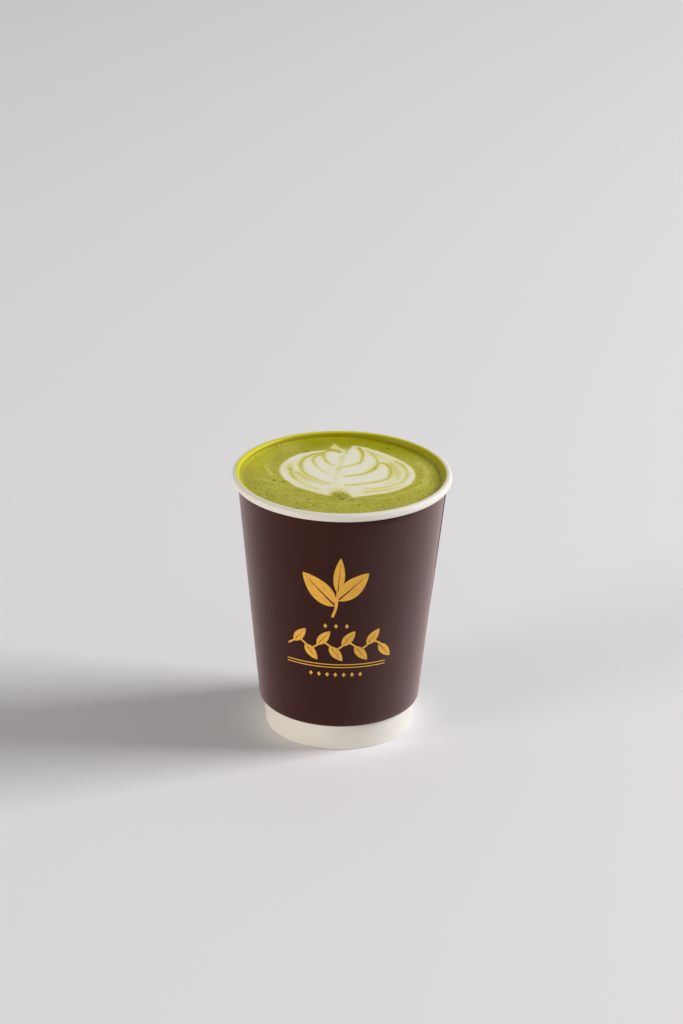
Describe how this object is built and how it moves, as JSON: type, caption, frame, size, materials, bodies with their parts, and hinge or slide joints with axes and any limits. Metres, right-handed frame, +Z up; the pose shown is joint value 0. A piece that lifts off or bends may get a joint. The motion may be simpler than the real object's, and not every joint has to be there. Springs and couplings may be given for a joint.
{
  "type": "matcha latte in a paper cup",
  "caption": "Matcha latte with poured milk leaf art, filled to the brim of a double-wall paper cup with a rolled rim.",
  "frame": {"origin": "centre of the cup's foot ring, on the surface that it stands on", "axes": "+Z up along the cup's axis, -Y towards the side with the ornament, +X towards the lap of the outer wall"},
  "size_m": [0.09, 0.09, 0.1125],
  "materials": {
    "cup_paper": "smooth coated white paper",
    "base_paper": "smooth coated white paper",
    "wall_paper": "satin dark brown coated paper",
    "latte": "fine wet foam, green with white milk art"
  },
  "bodies": {
    "root": {"inner_cup": "cup_paper", "cup_base": "base_paper", "outer_wall": "wall_paper", "matcha_latte": "latte"}
  },
  "joints": []
}
